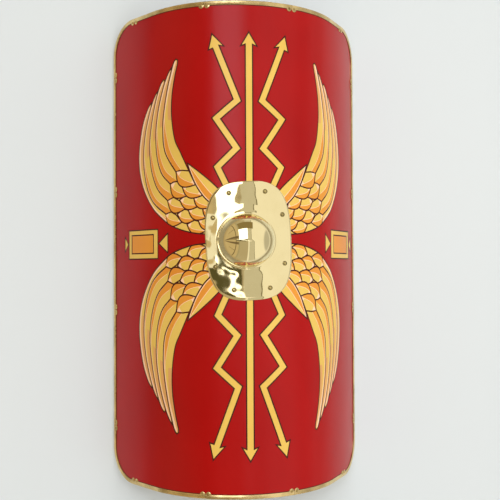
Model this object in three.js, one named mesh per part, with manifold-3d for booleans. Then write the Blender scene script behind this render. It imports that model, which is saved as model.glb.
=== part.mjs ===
// A curved rectangular legionary shield: a bent plywood board, painted in front, with a nailed
// brass edge binding, a riveted brass boss over the hand hole, and a wooden grip behind it.
// Millimetres. The shield lies on its two long edges with the boss upwards: X runs across it,
// Y up its height, Z out of its face. The origin is under its middle.
//
// Most pieces are laid out on the unbent board and then bent with it. There, s runs across the
// painted face, y up it, and d is the height above it: the board reaches from -BOARD_THICKNESS to 0.

import * as THREE from 'three';
import { mergeVertices } from 'three/addons/utils/BufferGeometryUtils.js';
import Module from 'manifold-3d';

// Whole shield
const HEIGHT = 1050;              // over the binding
const FACE_WIDTH = 784;           // over the binding, measured round the painted face
const CORNER_RADIUS = 76;         // over the binding
const CLEARANCE = 0.3;            // between pieces that touch
const CUT_MARGIN = 5;             // how far a cutter reaches past what it cuts
const CORNER_STEPS = 8;           // flats round each corner

// Board
const BOARD_THICKNESS = 7;
const BEND_RADIUS = 240;          // painted face, in the middle
const BEND_ANGLE = 56.5;          // degrees that each half turns before its flank runs straight
const FACET_SAG = 0.25;           // how far a flat facet may leave the true bend
const FACET_LEAST = 0.5;          // a narrower sliver of a facet is left out
const CUT_CLEAR = 45;             // how far cutters reach above the face
const HAND_HOLE_RADIUS = 52;
const HAND_HOLE_SIDES = 24;
const WELD = 1e-4;                // points nearer than this are one

// Edge binding: a folded brass strip in sixteen lengths, with a nailed lobe at each end
const BINDING_WIDTH = 9;
const BINDING_SHEET = 1;
const BINDING_CHAMFER = 1;        // rounding of the fold
const JOINT_GAP = 0.4;
const END_MIDDLE_LENGTH = 194;    // middle length of the top and bottom edges
const SIDE_MIDDLE_LENGTH = 272;   // middle length of each long edge
const CORNER_REACH_ACROSS = 86;   // how far a corner piece runs along the top or bottom
const CORNER_REACH_DOWN = 123;    // and along the long edge
const LOBE_RADIUS = 5.8;
const LOBE_OFFSET = 6.4;          // from the joint to the lobe's middle
const LOBE_STEPS = 4;             // flats round each lobe
const STRIP_SPARE = 1;            // uncut strip inside the lobes, trimmed away

// Binding nails, clenched behind
const NAIL_SHANK_RADIUS = 1.1;
const NAIL_HEAD_RADIUS = 2.7;
const NAIL_HEAD_HEIGHT = 1.4;
const NAIL_TAIL_RADIUS = 2.2;
const NAIL_TAIL_HEIGHT = 0.8;
const NAIL_SIDES = 6;

// Boss: a brass plate with a hollow dome, set a little crooked on the board
const BOSS_SHIFT = -1.5;          // plate's middle from the board's, across
const BOSS_RISE = 16.5;           // and up
const BOSS_TILT = 2.9;            // degrees, top leaning left
const BOSS_SHEET = 1.5;
const PLATE_WIDTH = 188;
const PLATE_HEIGHT = 251;
const PLATE_SQUARENESS = 3;       // 2 gives an ellipse, more gives squarer corners
const PLATE_SIDES = 32;
const DOME_SHIFT = -6.5;          // dome's middle from the plate's
const DOME_RADIUS = 55;           // up and down
const DOME_OVALNESS = 1.07;       // its width over its height
const DOME_HEIGHT = 52;           // above the painted face
const DOME_WALL_HEIGHT = 4;       // upright foot of the dome
const DOME_SIDES = 24;
const DOME_STEPS = 5;             // flats from its foot to its top
const RING_WIDTH = 4.4;           // raised moulding round the dome
const RING_HEIGHT = 1.7;          // above the plate

// Boss rivets, headed on both sides
const RIVET_SHANK_RADIUS = 2;
const RIVET_HEAD_RADIUS = 5.2;
const RIVET_HEAD_HEIGHT = 2.4;
const RIVET_TAIL_RADIUS = 3.8;
const RIVET_TAIL_HEIGHT = 1.4;
const RIVET_SIDES = 8;
const RIVET_SHOULDER = [0.6, 0.8]; // bend of the head: shares of its radius and height
const RIVET_END_INSET = 23.5;     // from the plate's top or bottom
const RIVET_END_SPREAD = 77;      // between the two rivets there
const RIVET_SIDE_INSET = 19;      // from the plate's side
const RIVET_SIDE_SPREAD = 104;    // between the two rivets there

// Grip: a bar across the hand hole, glued and screwed to the back of the board
const GRIP_LENGTH = 204;          // measured round the board
const GRIP_WIDTH = 30;
const GRIP_DEPTH = 28;            // in the middle
const GRIP_CHAMFER = 5;

const wasm = await Module();
wasm.setup();

const paint = { color: 0xb01412, roughness: 0.4, metalness: 0 };
const brass = { color: 0xd9bd78, roughness: 0.25, metalness: 1 };
const dullBrass = { color: 0xb39a5c, roughness: 0.35, metalness: 1 };
const wood = { color: 0x8a5a34, roughness: 0.65, metalness: 0 };

const edgeS = FACE_WIDTH / 2;
const edgeY = HEIGHT / 2;
const bendTurn = THREE.MathUtils.degToRad(BEND_ANGLE);
const flankStart = Math.min(BEND_RADIUS * bendTurn, edgeS);
const facetCount = Math.ceil(flankStart / Math.sqrt(8 * BEND_RADIUS * FACET_SAG));
const facetWidth = flankStart / facetCount;

// A point of the true bend: x and z of the place s across the board and d above its face.
function onBend(s, d) {
  const turn = Math.min(Math.abs(s), flankStart) / BEND_RADIUS;
  const run = Math.max(Math.abs(s) - flankStart, 0);
  const x = (BEND_RADIUS + d) * Math.sin(turn) + run * Math.cos(turn);
  const z = (BEND_RADIUS + d) * Math.cos(turn) - run * Math.sin(turn) - BEND_RADIUS;
  return [Math.sign(s) * x, z];
}

// The same on the faceted bend, which every piece shares so that gaps stay even.
function place(s, y, d) {
  if (Math.abs(s) >= flankStart) {
    const [x, z] = onBend(s, d);
    return [x, y, z];
  }
  const step = Math.floor(s / facetWidth);
  const share = s / facetWidth - step;
  const [x0, z0] = onBend(step * facetWidth, d);
  const [x1, z1] = onBend((step + 1) * facetWidth, d);
  return [x0 + (x1 - x0) * share, y, z0 + (z1 - z0) * share];
}

// Places across the board from one to another, with every fold between two facets.
function stops(from, to) {
  const list = [from];
  const [low, high] = [Math.min(from, to), Math.max(from, to)];
  for (let i = -facetCount; i <= facetCount; i++) {
    const s = i * facetWidth;
    if (s > low + FACET_LEAST && s < high - FACET_LEAST) list.push(s);
  }
  if (from > to) list.splice(1, list.length - 1, ...list.slice(1).reverse());
  list.push(to);
  return list;
}

// A closed mesh from points and triangles, turned inside out if its faces point inwards.
function closedGeometry(points, triangles) {
  let volume = 0;
  for (const [a, b, c] of triangles) {
    const [p, q, r] = [a, b, c].map((i) => new THREE.Vector3(...points[i]));
    volume += p.dot(q.cross(r));
  }
  const index = triangles.flatMap(([a, b, c]) => (volume > 0 ? [a, b, c] : [a, c, b]));
  const geometry = new THREE.BufferGeometry();
  geometry.setAttribute('position', new THREE.Float32BufferAttribute(points.flat(), 3));
  geometry.setIndex(index);
  return geometry;
}

function solidOf(geometry) {
  const bare = geometry.clone();
  bare.deleteAttribute('normal');
  bare.deleteAttribute('uv');
  const merged = mergeVertices(bare, WELD);
  return new wasm.Manifold(new wasm.Mesh({
    numProp: 3,
    vertProperties: new Float32Array(merged.attributes.position.array),
    triVerts: new Uint32Array(merged.index.array),
  }));
}

function geometryOf(solid) {
  const mesh = solid.getMesh();
  const geometry = new THREE.BufferGeometry();
  geometry.setAttribute('position', new THREE.BufferAttribute(mesh.vertProperties, 3));
  geometry.setIndex(new THREE.BufferAttribute(mesh.triVerts, 1));
  geometry.computeVertexNormals();
  return geometry;
}

function capTriangles(outline) {
  const points = outline.map(([u, v]) => new THREE.Vector2(u, v));
  return THREE.ShapeUtils.triangulateShape(points, []);
}

// A cutter: an outline on the unbent board, run square to it through everything there. Its caps
// are flat from one side to the other, so it starts and ends well clear of the bent pieces.
function cutterFor(outline) {
  const area = THREE.ShapeUtils.area(outline.map(([u, v]) => new THREE.Vector2(u, v)));
  const ring = area > 0 ? outline : [...outline].reverse();
  const count = ring.length;
  const heights = [-BOARD_THICKNESS - 2 * CUT_MARGIN, CUT_CLEAR];
  const points = heights.flatMap((d) => ring.map(([s, y]) => place(s, y, d)));
  const triangles = capTriangles(ring).flatMap(([a, b, c]) => [
    [a, c, b], [a + count, b + count, c + count],
  ]);
  for (let i = 0; i < count; i++) {
    const j = (i + 1) % count;
    triangles.push([i, j, j + count], [i, j + count, i + count]);
  }
  return solidOf(closedGeometry(points, triangles));
}

// A rectangle of the board's curved body between two heights.
function bentSlab(halfS, lowY, highY, low, high) {
  const across = stops(-halfS, halfS);
  const top = across.map((s) => place(s, 0, high));
  const bottom = across.map((s) => place(s, 0, low)).reverse();
  const shape = new THREE.Shape([...top, ...bottom].map(([x, , z]) => new THREE.Vector2(x, z)));
  const slab = new THREE.ExtrudeGeometry(shape, { depth: highY - lowY, bevelEnabled: false });
  slab.rotateX(Math.PI / 2);
  slab.translate(0, highY, 0);
  return solidOf(slab);
}

function circle(s, y, radius, sides) {
  const list = [];
  for (let i = 0; i < sides; i++) {
    const turn = (2 * Math.PI * (i + 0.5)) / sides;
    list.push([s + radius * Math.cos(turn), y + radius * Math.sin(turn)]);
  }
  return list;
}

// A hole's cutter, wide enough that its flats clear the shank all round.
function hole(s, y, shankRadius, sides) {
  const radius = (shankRadius + CLEARANCE) / Math.cos(Math.PI / sides);
  return cutterFor(circle(s, y, radius, sides));
}

// Edge binding

const boardEdge = BINDING_SHEET + CLEARANCE;
const frontOut = CLEARANCE + BINDING_SHEET;
const backOut = -BOARD_THICKNESS - frontOut;

// The strip's section: distance in from the outer edge, counted negative, and height d. It is
// wide enough for the lobes, and the metal between them is cut away.
const sectionReach = BINDING_WIDTH + LOBE_RADIUS + STRIP_SPARE;
const bindingSection = [
  [-sectionReach, frontOut],
  [-sectionReach, CLEARANCE],
  [-BINDING_SHEET, CLEARANCE],
  [-BINDING_SHEET, -BOARD_THICKNESS - CLEARANCE],
  [-sectionReach, -BOARD_THICKNESS - CLEARANCE],
  [-sectionReach, backOut],
  [-BINDING_CHAMFER, backOut],
  [0, backOut + BINDING_CHAMFER],
  [0, frontOut - BINDING_CHAMFER],
  [-BINDING_CHAMFER, frontOut],
];

// A section swept through stations, each a place on the edge and the way out of the board there.
function sweep(section, stations) {
  const size = section.length;
  const points = stations.flatMap(({ s, y, outS, outY }) =>
    section.map(([n, d]) => place(s + outS * n, y + outY * n, d)));
  const triangles = [];
  for (let k = 0; k + 1 < stations.length; k++) {
    for (let i = 0; i < size; i++) {
      const j = (i + 1) % size;
      const [a, b] = [k * size, (k + 1) * size];
      triangles.push([a + i, a + j, b + j], [a + i, b + j, b + i]);
    }
  }
  const last = (stations.length - 1) * size;
  for (const [a, b, c] of capTriangles(section)) {
    triangles.push([a, c, b], [a + last, b + last, c + last]);
  }
  return solidOf(closedGeometry(points, triangles));
}

// A place near a station: a along the strip towards its other end, n out of the board.
function beside(station, unit, a, n) {
  return [station.s + unit[0] * a + station.outS * n, station.y + unit[1] * a + station.outY * n];
}

// What is cut from the inside of the strip: all of it but a half-round lobe at each end.
function lobeCutter(ends, stations) {
  const far = -sectionReach - CUT_MARGIN;
  const [start, finish] = ends.map(({ station, unit, inset }) => {
    const line = [far, -BINDING_WIDTH].map((n) => beside(station, unit, -CUT_MARGIN, n));
    for (let i = 0; i <= LOBE_STEPS; i++) {
      const turn = (Math.PI * i) / LOBE_STEPS;
      const a = inset - LOBE_RADIUS * Math.cos(turn);
      line.push(beside(station, unit, a, -BINDING_WIDTH - LOBE_RADIUS * Math.sin(turn)));
    }
    return line;
  });
  const inner = stations.slice(1, -1);
  const near = 2 * LOBE_OFFSET;
  const clear = inner.filter((point) => ends.every(({ station }) =>
    Math.hypot(point.s - station.s, point.y - station.y) > near));
  const shifted = (list, n) => list.map(({ s, y, outS, outY }) => [s + outS * n, y + outY * n]);
  const middle = shifted(clear, -BINDING_WIDTH);
  const back = shifted(inner, far).reverse();
  return cutterFor([...start, ...middle, ...finish.reverse(), ...back]);
}

const nailPlaces = [];

function bindingPiece(stations) {
  const last = stations.length - 1;
  const ends = [[0, 1], [last, last - 1]].map(([end, next]) => {
    const station = stations[end];
    const along = [stations[next].s - station.s, stations[next].y - station.y];
    const unit = along.map((v) => v / Math.hypot(...along));
    return { station, unit, inset: LOBE_OFFSET - JOINT_GAP / 2 };
  });
  let piece = sweep(bindingSection, stations).subtract(lobeCutter(ends, stations));
  for (const { station, unit, inset } of ends) {
    const centre = beside(station, unit, inset, -BINDING_WIDTH);
    piece = piece.subtract(hole(...centre, NAIL_SHANK_RADIUS, NAIL_SIDES));
    nailPlaces.push(centre);
  }
  return piece;
}

function endStations(from, to, way) {
  return stops(from, to).map((s) => ({ s, y: way * edgeY, outS: 0, outY: way }));
}

function sideStations(from, to, way) {
  return [from, to].map((y) => ({ s: way * edgeS, y, outS: way, outY: 0 }));
}

function cornerStations(wayS, wayY) {
  const startS = edgeS - CORNER_REACH_ACROSS + JOINT_GAP / 2;
  const endY = edgeY - CORNER_REACH_DOWN + JOINT_GAP / 2;
  const centre = [edgeS - CORNER_RADIUS, edgeY - CORNER_RADIUS];
  const straight = stops(startS, centre[0]).slice(0, -1);
  const list = straight.map((s) => ({ s, y: edgeY, outS: 0, outY: 1 }));
  for (let i = 0; i <= CORNER_STEPS; i++) {
    const turn = (Math.PI / 2) * (1 - i / CORNER_STEPS);
    const [outS, outY] = [Math.cos(turn), Math.sin(turn)];
    const [s, y] = [centre[0] + CORNER_RADIUS * outS, centre[1] + CORNER_RADIUS * outY];
    list.push({ s, y, outS, outY });
  }
  list.push({ s: edgeS, y: endY, outS: 1, outY: 0 });
  return list.map(({ s, y, outS, outY }) => ({
    s: s * wayS, y: y * wayY, outS: outS * wayS, outY: outY * wayY,
  }));
}

const endJoint = END_MIDDLE_LENGTH / 2;
const endCornerJoint = edgeS - CORNER_REACH_ACROSS;
const sideJoint = SIDE_MIDDLE_LENGTH / 2;
const sideCornerJoint = edgeY - CORNER_REACH_DOWN;
const gap = JOINT_GAP / 2;

const bindingPieces = {};
for (const [word, way] of [['top', 1], ['bottom', -1]]) {
  bindingPieces[`binding_${word}_left`] = endStations(-endCornerJoint + gap, -endJoint - gap, way);
  bindingPieces[`binding_${word}_middle`] = endStations(-endJoint + gap, endJoint - gap, way);
  bindingPieces[`binding_${word}_right`] = endStations(endJoint + gap, endCornerJoint - gap, way);
}
for (const [word, way] of [['left', -1], ['right', 1]]) {
  bindingPieces[`binding_${word}_upper`] = sideStations(sideCornerJoint - gap, sideJoint + gap, way);
  bindingPieces[`binding_${word}_middle`] = sideStations(sideJoint - gap, -sideJoint + gap, way);
  bindingPieces[`binding_${word}_lower`] = sideStations(-sideJoint - gap, -sideCornerJoint + gap, way);
}
for (const [wordY, wayY] of [['top', 1], ['bottom', -1]]) {
  for (const [wordS, wayS] of [['left', -1], ['right', 1]]) {
    bindingPieces[`binding_corner_${wordY}_${wordS}`] = cornerStations(wayS, wayY);
  }
}

// Boss

const plateMiddle = [BOSS_SHIFT, BOSS_RISE];
const domeMiddle = [BOSS_SHIFT + DOME_SHIFT, BOSS_RISE];
const tilt = THREE.MathUtils.degToRad(BOSS_TILT);
const plateTop = CLEARANCE + BOSS_SHEET;

// A place on the plate, from the plate's own middle, with its tilt.
function onPlate(u, v) {
  return [
    plateMiddle[0] + u * Math.cos(tilt) - v * Math.sin(tilt),
    plateMiddle[1] + u * Math.sin(tilt) + v * Math.cos(tilt),
  ];
}

function plateOutline() {
  const list = [];
  for (let i = 0; i < PLATE_SIDES; i++) {
    const turn = (2 * Math.PI * i) / PLATE_SIDES;
    const [across, up] = [Math.cos(turn), Math.sin(turn)];
    const power = Math.abs(across) ** PLATE_SQUARENESS + Math.abs(up) ** PLATE_SQUARENESS;
    const reach = power ** (-1 / PLATE_SQUARENESS);
    list.push(onPlate((PLATE_WIDTH / 2) * reach * across, (PLATE_HEIGHT / 2) * reach * up));
  }
  return list;
}

function ovalOutline(radius) {
  const round = circle(0, 0, radius, DOME_SIDES);
  return round.map(([u, v]) => [domeMiddle[0] + u * DOME_OVALNESS, domeMiddle[1] + v]);
}

const rivetPlaces = [];
for (const wayY of [1, -1]) {
  for (const wayS of [-1, 1]) {
    const endV = PLATE_HEIGHT / 2 - RIVET_END_INSET;
    const sideU = PLATE_WIDTH / 2 - RIVET_SIDE_INSET;
    rivetPlaces.push(onPlate((wayS * RIVET_END_SPREAD) / 2, wayY * endV));
    rivetPlaces.push(onPlate(wayS * sideU, (wayY * RIVET_SIDE_SPREAD) / 2));
  }
}

// One skin of the dome, filled down to a foot well below the plate.
function domeSolid(radius, height) {
  const foot = -CUT_CLEAR;
  const profile = [];
  for (let i = 0; i <= DOME_STEPS; i++) {
    const turn = (Math.PI / 2) * (i / DOME_STEPS);
    const rise = (height - DOME_WALL_HEIGHT) * Math.cos(turn);
    profile.push(new THREE.Vector2(i === 0 ? 0 : radius * Math.sin(turn), DOME_WALL_HEIGHT + rise));
  }
  profile.push(new THREE.Vector2(radius, foot), new THREE.Vector2(0, foot));
  return solidOf(setOnDome(new THREE.LatheGeometry(profile, DOME_SIDES)));
}

// A lathe-turned shape, stood upright over the dome's middle and drawn out to its oval.
function setOnDome(geometry) {
  geometry.rotateX(Math.PI / 2);
  geometry.scale(DOME_OVALNESS, 1, 1);
  geometry.translate(place(...domeMiddle, 0)[0], domeMiddle[1], 0);
  return outwards(geometry);
}

// Lathes run either way round with their profile, so the faces are turned outwards here.
function outwards(geometry) {
  const bare = geometry.clone();
  bare.deleteAttribute('normal');
  bare.deleteAttribute('uv');
  const merged = mergeVertices(bare, WELD);
  const position = merged.attributes.position;
  const points = [];
  for (let i = 0; i < position.count; i++) {
    points.push([position.getX(i), position.getY(i), position.getZ(i)]);
  }
  const triangles = [];
  for (let i = 0; i < merged.index.count; i += 3) {
    const corners = [0, 1, 2].map((k) => merged.index.getX(i + k));
    if (new Set(corners).size === 3) triangles.push(corners);
  }
  return closedGeometry(points, triangles);
}

function makeBoss() {
  const reach = PLATE_WIDTH / 2 + Math.abs(BOSS_SHIFT) + PLATE_HEIGHT * Math.sin(Math.abs(tilt));
  const [lowY, highY] = [BOSS_RISE - PLATE_HEIGHT, BOSS_RISE + PLATE_HEIGHT];
  const within = CLEARANCE + BOSS_SHEET / 2;
  const sheet = bentSlab(reach, lowY, highY, CLEARANCE, plateTop);
  const plate = sheet.intersect(cutterFor(plateOutline()));
  const ringSlab = bentSlab(reach, lowY, highY, within, plateTop + RING_HEIGHT);
  const ring = ringSlab.intersect(cutterFor(ovalOutline(DOME_RADIUS + RING_WIDTH)));
  const aboveBoard = bentSlab(reach, lowY, highY, within, DOME_HEIGHT + CUT_CLEAR);
  const outer = domeSolid(DOME_RADIUS, DOME_HEIGHT).intersect(aboveBoard);
  const inner = domeSolid(DOME_RADIUS - BOSS_SHEET, DOME_HEIGHT - BOSS_SHEET);
  let boss = plate.add(ring).add(outer).subtract(inner);
  for (const [s, y] of rivetPlaces) boss = boss.subtract(hole(s, y, RIVET_SHANK_RADIUS, RIVET_SIDES));
  return boss;
}

// Board

function boardOutlineCutters() {
  const radius = CORNER_RADIUS - boardEdge;
  const [limitS, limitY] = [edgeS - boardEdge, edgeY - boardEdge];
  const cutters = [];
  for (const [wayS, wayY] of [[1, 1], [1, -1], [-1, 1], [-1, -1]]) {
    const [midS, midY] = [limitS - radius, limitY - radius];
    const [farS, farY] = [limitS + CUT_MARGIN, limitY + CUT_MARGIN];
    const outline = [[farS, midY], [farS, farY], [midS, farY]];
    for (let i = 0; i <= CORNER_STEPS; i++) {
      const turn = (Math.PI / 2) * (1 - i / CORNER_STEPS);
      outline.push([midS + radius * Math.cos(turn), midY + radius * Math.sin(turn)]);
    }
    cutters.push(cutterFor(outline.map(([s, y]) => [s * wayS, y * wayY])));
  }
  return cutters;
}

function makeBoard() {
  const [halfS, halfY] = [edgeS - boardEdge, edgeY - boardEdge];
  let board = bentSlab(halfS, -halfY, halfY, -BOARD_THICKNESS, 0);
  for (const cutter of boardOutlineCutters()) board = board.subtract(cutter);
  board = board.subtract(cutterFor(circle(...domeMiddle, HAND_HOLE_RADIUS, HAND_HOLE_SIDES)));
  for (const [s, y] of nailPlaces) board = board.subtract(hole(s, y, NAIL_SHANK_RADIUS, NAIL_SIDES));
  for (const [s, y] of rivetPlaces) board = board.subtract(hole(s, y, RIVET_SHANK_RADIUS, RIVET_SIDES));
  return board;
}

// Nails and rivets: a domed head in front, a shank, and a flattened tail behind, turned about
// their own axis with height 0 on the painted face.
function fastenerGeometry(size, sides) {
  const { head, headHeight, headDome, shank, tail, tailHeight, headSeat, tailSeat } = size;
  const profile = [
    [0, headSeat + headHeight],
    ...headDome.map(([out, up]) => [head * out, headSeat + headHeight * up]),
    [head, headSeat],
    [shank, headSeat],
    [shank, tailSeat],
    [tail, tailSeat],
    [0, tailSeat - tailHeight],
  ].map(([r, h]) => new THREE.Vector2(r, h));
  const lathe = new THREE.LatheGeometry(profile, sides);
  lathe.rotateX(Math.PI / 2);
  return outwards(lathe);
}

// Grip

function makeGrip() {
  const crownIn = -BOARD_THICKNESS - CLEARANCE;
  const flat = crownIn - GRIP_DEPTH;
  const top = stops(-GRIP_LENGTH / 2, GRIP_LENGTH / 2).map((s) => place(s, 0, crownIn));
  const [endX, , endZ] = top[top.length - 1];
  const endChamfer = Math.max(0, Math.min(GRIP_CHAMFER, (endZ - flat) / 2));
  const outline = [
    ...top.map(([x, , z]) => new THREE.Vector2(x, z)),
    new THREE.Vector2(endX, flat + endChamfer),
    new THREE.Vector2(endX - endChamfer, flat),
    new THREE.Vector2(endChamfer - endX, flat),
    new THREE.Vector2(-endX, flat + endChamfer),
  ];
  const side = new THREE.Shape(outline);
  const bar = new THREE.ExtrudeGeometry(side, { depth: GRIP_WIDTH, bevelEnabled: false });
  bar.rotateX(Math.PI / 2);
  bar.translate(0, BOSS_RISE + GRIP_WIDTH / 2, 0);
  const half = GRIP_WIDTH / 2;
  const section = new THREE.Shape([
    new THREE.Vector2(-half, flat + GRIP_CHAMFER),
    new THREE.Vector2(-half + GRIP_CHAMFER, flat),
    new THREE.Vector2(half - GRIP_CHAMFER, flat),
    new THREE.Vector2(half, flat + GRIP_CHAMFER),
    new THREE.Vector2(half, crownIn + CUT_MARGIN),
    new THREE.Vector2(-half, crownIn + CUT_MARGIN),
  ]);
  const depth = 2 * GRIP_LENGTH;
  const rounded = new THREE.ExtrudeGeometry(section, { depth, bevelEnabled: false });
  rounded.rotateX(Math.PI / 2);
  rounded.rotateZ(Math.PI / 2);
  rounded.translate(-depth / 2, BOSS_RISE, 0);
  return solidOf(bar).intersect(solidOf(rounded));
}

// The pieces, standing on the lowest line of the binding

const shield = new THREE.Group();
const sideSectionHeights = bindingSection.map(([n, d]) => onBend(edgeS + n, d)[1]);
shield.position.z = -Math.min(...sideSectionHeights);

function addPiece(name, geometry, look) {
  const mesh = new THREE.Mesh(geometry, new THREE.MeshStandardMaterial(look));
  mesh.name = name;
  shield.add(mesh);
  return mesh;
}

// A fastener stands on the painted face, square to the board.
function addFastener(name, geometry, look, [s, y]) {
  const [x0, , z0] = place(s, y, 0);
  const [x1, , z1] = place(s, y, -BOARD_THICKNESS);
  const mesh = addPiece(name, geometry, look);
  mesh.position.set(x0, y, z0);
  mesh.rotation.y = Math.atan2(x0 - x1, z0 - z1);
}

const bindingSolids = Object.entries(bindingPieces).map(([name, list]) => [name, bindingPiece(list)]);

addPiece('board', geometryOf(makeBoard()), paint);
for (const [name, solid] of bindingSolids) addPiece(name, geometryOf(solid), brass);

const nail = fastenerGeometry({
  head: NAIL_HEAD_RADIUS, headHeight: NAIL_HEAD_HEIGHT, headDome: [],
  shank: NAIL_SHANK_RADIUS,
  tail: NAIL_TAIL_RADIUS, tailHeight: NAIL_TAIL_HEIGHT,
  headSeat: frontOut + CLEARANCE, tailSeat: backOut - CLEARANCE,
}, NAIL_SIDES);
nailPlaces.forEach((where, i) => {
  addFastener(`binding_nail_${String(i + 1).padStart(2, '0')}`, nail, dullBrass, where);
});

addPiece('boss', geometryOf(makeBoss()), brass);
const rivet = fastenerGeometry({
  head: RIVET_HEAD_RADIUS, headHeight: RIVET_HEAD_HEIGHT, headDome: [RIVET_SHOULDER],
  shank: RIVET_SHANK_RADIUS,
  tail: RIVET_TAIL_RADIUS, tailHeight: RIVET_TAIL_HEIGHT,
  headSeat: plateTop + CLEARANCE, tailSeat: -BOARD_THICKNESS - CLEARANCE,
}, RIVET_SIDES);
rivetPlaces.forEach((where, i) => addFastener(`boss_rivet_${i + 1}`, rivet, dullBrass, where));

addPiece('grip', geometryOf(makeGrip()), wood);

export default shield;
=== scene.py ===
import math

import bpy
import numpy as np
from mathutils import Matrix, Vector
from mathutils.geometry import delaunay_2d_cdt


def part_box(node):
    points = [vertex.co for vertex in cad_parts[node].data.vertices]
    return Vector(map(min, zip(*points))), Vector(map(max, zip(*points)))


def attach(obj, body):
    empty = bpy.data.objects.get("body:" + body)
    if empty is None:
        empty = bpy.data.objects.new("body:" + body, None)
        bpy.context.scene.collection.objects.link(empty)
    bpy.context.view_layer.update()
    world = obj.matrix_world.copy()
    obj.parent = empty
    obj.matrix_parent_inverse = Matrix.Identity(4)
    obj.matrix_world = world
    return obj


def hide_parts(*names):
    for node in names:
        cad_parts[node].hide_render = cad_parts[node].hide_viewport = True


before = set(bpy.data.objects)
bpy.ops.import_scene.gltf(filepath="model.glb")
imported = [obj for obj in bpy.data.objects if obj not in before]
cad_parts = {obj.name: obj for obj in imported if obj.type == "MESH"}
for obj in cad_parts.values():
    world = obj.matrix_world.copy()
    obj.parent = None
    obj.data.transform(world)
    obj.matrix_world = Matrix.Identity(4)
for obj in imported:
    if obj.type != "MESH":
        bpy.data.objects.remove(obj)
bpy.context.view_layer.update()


# The board: thin plywood bent round a former, straight down its flanks, with rounded corners and
# a round hole for the hand behind the boss. Everything else is nailed, riveted or screwed to it.
# It is sprayed satin red in front and stained brown behind.

mm = 0.001
bend_radius = 240 * mm
flank_start = bend_radius * math.radians(56.5)
board_thick = 7 * mm
board_clear = 1.3 * mm               # from the board's edge to the outside of the binding
fold_step = 7 * mm                   # flats of the bend
crown_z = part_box("board")[1][2]
edge_s = 392 * mm
edge_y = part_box("binding_top_middle")[1][1]
corner_radius = 76 * mm
dirt_and_shade_wide = 9.3 * mm                # the darkened edge of the paint beside the binding: dirt and painted shade
plate_shift = -1.5 * mm
plate_rise = 16.5 * mm
dome_s = plate_shift - 6.5 * mm
hand_hole_radius = 52 * mm
ease_start = 170 * mm
ease_turn = ease_start / bend_radius
edge_turn = math.radians(63)
ease_rate = (edge_turn - ease_turn) / (edge_s - ease_start)


def bend(s, y, d):
    """Where a place on the flat board goes: s across the face, y up it, d above it."""
    s, y, d = np.broadcast_arrays(np.asarray(s, float), np.asarray(y, float), np.asarray(d, float))
    turn = np.minimum(np.abs(s), flank_start) / bend_radius
    run = np.maximum(np.abs(s) - flank_start, 0)
    x = (bend_radius + d) * np.sin(turn) + run * np.cos(turn)
    z = (bend_radius + d) * np.cos(turn) - run * np.sin(turn) + crown_z - bend_radius
    return np.stack([np.sign(s) * x, y, z], -1)


def way_out(s):
    """The direction square out of the bent face."""
    turn = np.minimum(np.abs(s), flank_start) / bend_radius
    return np.stack([np.sign(s) * np.sin(turn), 0 * turn, np.cos(turn)], -1)


def sheen_way(s):
    """The same with the bend eased out into the flanks, so that their shine fades in."""
    turn = np.minimum(np.abs(s) / bend_radius, ease_turn + (np.abs(s) - ease_start) * ease_rate)
    return np.stack([np.sign(s) * np.sin(turn), 0 * turn, np.cos(turn)], -1)


def arc(centre, radius, start, stop, steps):
    turns = np.radians(np.linspace(start, stop, steps + 1))
    return np.stack([centre[0] + radius * np.cos(turns), centre[1] + radius * np.sin(turns)], -1)


def rounded_rectangle(half_s, half_y, radius):
    mid = np.array([half_s - radius, half_y - radius])
    quarters = [arc(mid * way, radius, start, start + 90, 20)
                for way, start in (((1, 1), 0), ((-1, 1), 90), ((-1, -1), 180), ((1, -1), 270))]
    return np.concatenate(quarters)


def inside(points, outline):
    """Which points lie inside a closed outline."""
    px, py = points[:, 0, None], points[:, 1, None]
    ax, ay = outline[:, 0], outline[:, 1]
    bx, by = np.roll(ax, -1), np.roll(ay, -1)
    level = np.where(by == ay, 1, by - ay)
    crosses = ((ay > py) != (by > py)) & (px < ax + (py - ay) / level * (bx - ax))
    return crosses.sum(1) % 2 == 1


def flat_pattern(outlines):
    """Cuts the flat board along closed outlines and along folds, and gives points and triangles."""
    points, edges = [], []
    for outline in outlines:
        first = len(points)
        points += [Vector(p) for p in outline]
        edges += [(first + i, first + (i + 1) % len(outline)) for i in range(len(outline))]
    low, high = outlines[0][:, 1].min() - mm, outlines[0][:, 1].max() + mm
    folds = math.floor(edge_s / fold_step)
    for s in np.arange(-folds, folds + 1) * fold_step + 0.0131 * mm:
        edges.append((len(points), len(points) + 1))
        points += [Vector((s, low)), Vector((s, high))]
    flat, _, faces, *_ = delaunay_2d_cdt(points, edges, [], 0, 1e-6, False)
    flat = np.array(flat)[:, :2]
    faces = np.array([f for f in faces if len(f) == 3])
    return flat, faces


def mesh_object(name, verts, faces, normals=None, slots=None, smooth=True):
    mesh = bpy.data.meshes.new(name)
    mesh.from_pydata([tuple(v) for v in verts], [], [tuple(int(i) for i in f) for f in faces])
    mesh.polygons.foreach_set("use_smooth", [smooth] * len(mesh.polygons))
    if slots is not None:
        mesh.polygons.foreach_set("material_index", [int(i) for i in slots])
    if normals is not None:
        mesh.normals_split_custom_set([tuple(n) for n in normals])
    mesh.update()
    piece = bpy.data.objects.new(name, mesh)
    bpy.context.scene.collection.objects.link(piece)
    return piece


# The painted design, brushed on the front inside dark lines. It is drawn on the flat board in
# millimetres from its middle, and later paint covers earlier. All four wings, and all four bolts,
# are one drawing turned over, longer below, because the boss sits above the middle.

line_wide = 2.9
line_outside = 1.1
lower_stretch = 1.07
lower_shift = 43.4
paint_layers = []      # for each: its colour, its outline and the outlines that it stays within


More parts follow.
